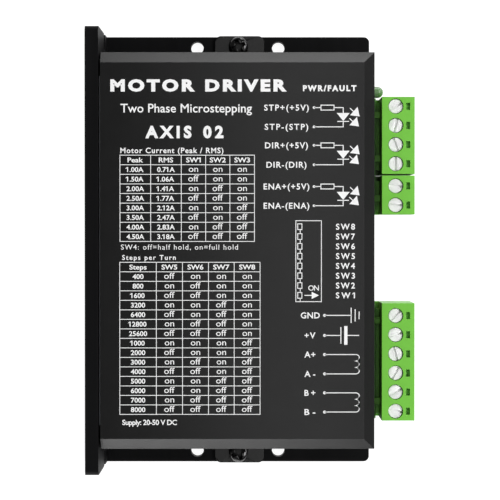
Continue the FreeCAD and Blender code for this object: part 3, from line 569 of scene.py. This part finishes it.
# a ray of light, with y from the upper wire: its shaft, its head, and the shifts of its two copies
RAY_SHAFT = ((29.59, -0.18), (30.53, -1.06))
RAY_HEAD = ((31.57, 0.19), (32.1, -2.33), (29.59, -1.99))
RAY_SHIFTS = ((0, 0), (-0.18, -2.6))


def print_signal_labels(ink):
    for y, text, width in SIGNAL_TERMINALS:
        ink.text(text, SIGNAL_LABEL_X, y - LABEL_DROP, LABEL_CAP, width, BOLD)
        ink.disc(SIGNAL_DOT_X, y, SIGNAL_DOT_RADIUS)
    for upper, lower in zip(SIGNAL_TERMINALS[::2], SIGNAL_TERMINALS[1::2]):
        print_lamp_symbol(ink, upper[0], lower[0])


def print_lamp_symbol(ink, top, bottom):
    """An optocoupler's input: a resistor and a lamp diode between two terminals."""
    start, bar = top - DIODE_START, top - DIODE_BAR
    ink.line([(SIGNAL_DOT_X, top), (RESISTOR_START_X, top)])
    ink.rectangle(RESISTOR_START_X, RESISTOR_END_X, top - RESISTOR_HALF, top + RESISTOR_HALF)
    ink.line([(RESISTOR_END_X, top), (DIODE_X, top), (DIODE_X, start)])
    ink.shape([(DIODE_X - DIODE_HALF, start), (DIODE_X + DIODE_HALF, start), (DIODE_X, top - DIODE_TIP)])
    ink.line([(DIODE_X - DIODE_BAR_HALF, bar), (DIODE_X + DIODE_BAR_HALF, bar)])
    ink.line([(DIODE_X, bar), (DIODE_X, bottom), (SIGNAL_DOT_X, bottom)])
    for across, up in RAY_SHIFTS:
        ink.line([(a + across, top + b + up) for a, b in RAY_SHAFT])
        ink.shape([(a + across, top + b + up) for a, b in RAY_HEAD])


# left, right, low and high side of the drawn switch, and the line from its low side to its first lever
SWITCH_FRAME = (15.40, 22.10, -13.54, 7.67)
SWITCH_TAIL = (-13.40, -12.64)
SWITCH_LINE_WIDTH, LEVER_LINE_WIDTH = 0.19, 0.2
LEVER_COUNT, FIRST_LEVER_Y, LEVER_PITCH = 8, -11.89, 2.57
LEVER_LEFT, LEVER_RIGHT, LEVER_HALF = 15.9, 17.0, 0.75
LINK_X, LINK_GAP = 16.55, 0.9                            # the lines that link the levers
# the levers' labels: middle, how far the baseline lies under the lever's middle, capital's height and width
LEVER_LABEL_X, LEVER_LABEL_DROP, LEVER_LABEL_CAP, LEVER_LABEL_WIDTH = 28.4, 0.78, 1.57, 5.0
ON_LABEL = ("ON", 20.05, -10.63, 1.38, 2.79, MEDIUM)     # as LAMP_LABEL
ON_ARROW_TAIL, ON_ARROW_NECK, ON_ARROW_TIP, ON_ARROW_HALF = 17.67, 19.57, 21.45, 0.94


def print_switch(ink):
    """The switch with its eight levers, which way is on, and the number of each lever."""
    ink.rectangle(*SWITCH_FRAME, SWITCH_LINE_WIDTH)
    ink.line([(LINK_X, y) for y in SWITCH_TAIL], SWITCH_LINE_WIDTH)
    for n in range(LEVER_COUNT):
        y = FIRST_LEVER_Y + LEVER_PITCH * n
        ink.rectangle(LEVER_LEFT, LEVER_RIGHT, y - LEVER_HALF, y + LEVER_HALF, LEVER_LINE_WIDTH)
        if n < LEVER_COUNT - 1:
            ink.line([(LINK_X, y + LINK_GAP), (LINK_X, y + LEVER_PITCH - LINK_GAP)], LEVER_LINE_WIDTH)
        ink.text(f"SW{n + 1}", LEVER_LABEL_X, y - LEVER_LABEL_DROP, LEVER_LABEL_CAP, LEVER_LABEL_WIDTH, BOLD)
    ink.text(*ON_LABEL)
    y = FIRST_LEVER_Y
    ink.line([(ON_ARROW_TAIL, y), (ON_ARROW_NECK, y)])
    ink.shape([(ON_ARROW_NECK, y - ON_ARROW_HALF), (ON_ARROW_TIP, y), (ON_ARROW_NECK, y + ON_ARROW_HALF)])


# each power terminal: its y, its label, and the label's left and right end
POWER_TERMINALS = (
    (-17.13, "GND", 16.70, 21.69),
    (-22.39, "+V", 17.67, 20.54),
    (-27.40, "A+", 17.67, 20.54),
    (-32.48, "A-", 17.67, 20.54),
    (-37.45, "B+", 17.67, 20.54),
    (-42.48, "B-", 17.67, 20.54),
)
POWER_DOT_X, POWER_DOT_RADIUS = 22.95, 0.4
GROUND_BARS = ((29.90, 2.0), (30.95, 1.6), (31.99, 1.0))     # place and half height
CELL_LINE_X, CELL_LINE_HALF = 27.22, 2.2
CELL_BLOCK_LEFT, CELL_BLOCK_RIGHT, CELL_BLOCK_HALF = 28.08, 28.94, 2.45
SUPPLY_END_X = 31.99
COIL_ROOT_X, COIL_REACH, COIL_HUMPS, HUMP_STEPS = 31.13, 0.94, 3, 8


def print_power_labels(ink):
    for y, text, left, right in POWER_TERMINALS:
        ink.text(text, (left + right) / 2, y - LABEL_DROP, LABEL_CAP, right - left, BOLD)
        ink.disc(POWER_DOT_X, y, POWER_DOT_RADIUS)
    ground, supply, a_plus, a_minus, b_plus, b_minus = (terminal[0] for terminal in POWER_TERMINALS)
    print_ground(ink, ground)
    print_supply(ink, supply)
    print_coil(ink, a_plus, a_minus)
    print_coil(ink, b_plus, b_minus)


def print_ground(ink, y):
    """A lead to three bars, each shorter than the one before."""
    ink.line([(POWER_DOT_X, y), (GROUND_BARS[0][0], y)])
    for x, half in GROUND_BARS:
        ink.line([(x, y - half), (x, y + half)])


def print_supply(ink, y):
    """A cell, as a line and a block, with a lead on each side."""
    left, right = CELL_BLOCK_LEFT, CELL_BLOCK_RIGHT
    low, high = y - CELL_BLOCK_HALF, y + CELL_BLOCK_HALF
    ink.line([(POWER_DOT_X, y), (CELL_LINE_X, y)])
    ink.line([(CELL_LINE_X, y - CELL_LINE_HALF), (CELL_LINE_X, y + CELL_LINE_HALF)])
    ink.shape([(left, low), (right, low), (right, high), (left, high)])
    ink.line([(right, y), (SUPPLY_END_X, y)])


def print_coil(ink, top, bottom):
    """A motor winding: three humps between two terminals."""
    hump = (top - bottom) / COIL_HUMPS
    path = [(POWER_DOT_X, top), (COIL_ROOT_X, top)]
    for n in range(COIL_HUMPS):
        for step in range(1, HUMP_STEPS + 1):
            turn = math.pi * step / HUMP_STEPS
            down = hump * (n + (1 - math.cos(turn)) / 2)
            path.append((COIL_ROOT_X + COIL_REACH * math.sin(turn), top - down))
    path.append((POWER_DOT_X, bottom))
    ink.line(path)


PRINT_SHIFT = 0.23 * MM            # the whole print lies this much further along +Y


def print_cover(white):
    ink = Print(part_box("cover")[1].z)
    print_headings(ink)
    print_tables(ink)
    print_signal_labels(ink)
    print_switch(ink)
    print_power_labels(ink)
    ink.finish("cover_print", "housing", white, Matrix.Translation((0, PRINT_SHIFT, 0)))


# ---- the print on the switch's own face, which looks along +X ----

# turns what is laid out along X and Y, so that it lies along Y and Z
UPRIGHT = Matrix(((0, 0, 1, 0), (1, 0, 0, 0), (0, 1, 0, 0), (0, 0, 0, 1)))
SIDE_CAP, NUMBER_BASELINE, SIDE_ON_BASELINE = 1.25, 20.05, 13.05
SIDE_ON_SHIFT, SIDE_ARROW_SHIFT = 0.3, 3.1                   # from the first lever's middle
SIDE_ARROW_TAIL, SIDE_ARROW_END, SIDE_ARROW_NECK, SIDE_ARROW_TIP = 14.5, 13.9, 13.95, 13.1
SIDE_ARROW_HALF, SIDE_LINE_WIDTH = 0.5, 0.22


def print_side(white):
    """On the switch's own face: the number of each lever, and which way is on."""
    ink = Print(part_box("switch_housing")[1].x)
    for n in range(LEVER_COUNT):
        low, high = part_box(f"switch_lever_{n + 1}")
        middle = (low.y + high.y) / 2 / MM
        ink.text(str(n + 1), middle, NUMBER_BASELINE, SIDE_CAP, None, MEDIUM)
        if n == 0:
            print_side_arrow(ink, middle)
    ink.finish("switch_print", "housing", white, UPRIGHT)


def print_side_arrow(ink, lever):
    """ON beside the first lever, with an arrow towards its on end."""
    ink.text("ON", lever + SIDE_ON_SHIFT, SIDE_ON_BASELINE, SIDE_CAP, None, MEDIUM)
    x = lever + SIDE_ARROW_SHIFT
    ink.line([(x, SIDE_ARROW_TAIL), (x, SIDE_ARROW_END)], SIDE_LINE_WIDTH)
    ink.shape([(x - SIDE_ARROW_HALF, SIDE_ARROW_NECK), (x, SIDE_ARROW_TIP),
               (x + SIDE_ARROW_HALF, SIDE_ARROW_NECK)])


set_camera()
set_lights()
add_floor()
paint_nodes()
white_ink = finish("white_ink", (0.95, 0.95, 0.95), 0.55, (3000, 0.004), specular=0.3, tint=0.03)
print_cover(white_ink)
print_side(white_ink)
